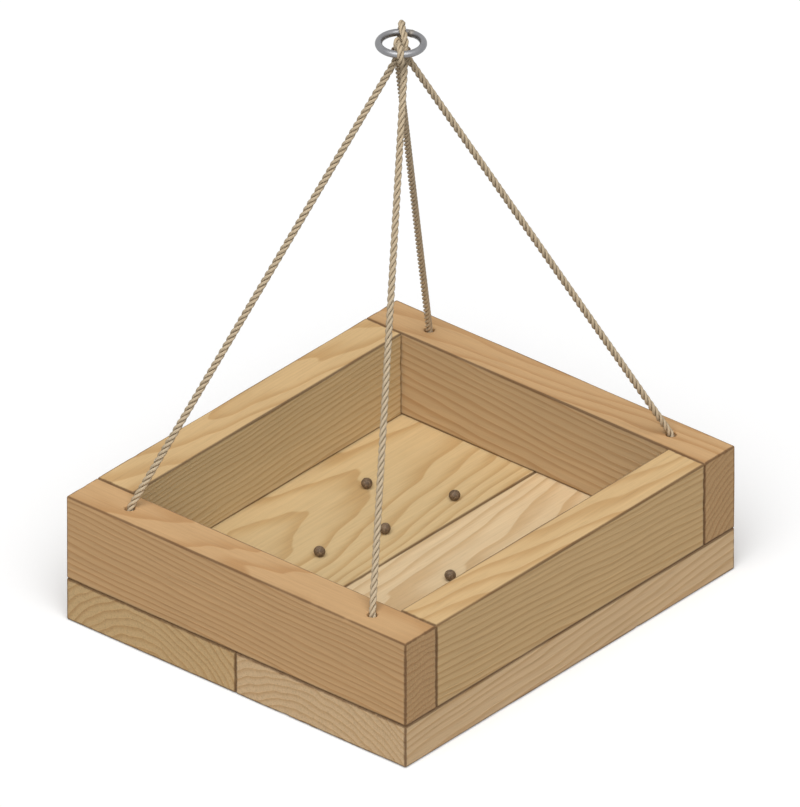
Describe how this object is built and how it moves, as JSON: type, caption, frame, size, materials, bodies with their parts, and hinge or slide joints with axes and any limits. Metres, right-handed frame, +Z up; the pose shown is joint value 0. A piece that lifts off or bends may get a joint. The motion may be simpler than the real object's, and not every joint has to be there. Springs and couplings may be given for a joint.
{
  "type": "platform bird feeder",
  "caption": "Open wooden tray with a plank floor and a low frame, hung by cords from its frame that meet in a small steel ring; a little seed lies on the floor.",
  "frame": {"origin": "middle of the tray's underside", "axes": "+Z up to the ring, +X to the right along the front board, -Y to the front"},
  "size_m": [0.1778, 0.2032, 0.2592],
  "materials": {
    "wood_cross": "planed, bare",
    "wood_side": "planed, bare",
    "wood_floor_left": "planed, bare",
    "wood_floor_right": "planed, bare",
    "dowel_wood": "smooth",
    "screw_steel": "zinc plated",
    "cord": "laid natural fibre",
    "thread": "waxed",
    "ring_steel": "satin",
    "seed": "matte"
  },
  "bodies": {
    "feeder": {"floor_board_left": "wood_floor_left", "floor_board_right": "wood_floor_right", "front_board": "wood_cross", "back_board": "wood_cross", "left_board": "wood_side", "right_board": "wood_side", "front_left_dowels": "dowel_wood", "front_right_dowels": "dowel_wood", "back_left_dowels": "dowel_wood", "back_right_dowels": "dowel_wood", "front_board_screws": "screw_steel", "back_board_screws": "screw_steel", "left_board_screws": "screw_steel", "right_board_screws": "screw_steel", "front_cord": "cord", "back_cord": "cord", "cord_whipping": "thread", "front_left_knot": "cord", "front_right_knot": "cord", "back_left_knot": "cord", "back_right_knot": "cord", "seeds": "seed"},
    "ring": {"hanging_ring": "ring_steel"}
  },
  "joints": [
    {"name": "ring_tilt", "type": "hinge", "parent": "feeder", "child": "ring", "pos_m": [0, 0, 0.254], "axis": [0.6428, -0.766, 0], "range_deg": [-18, 18]}
  ]
}
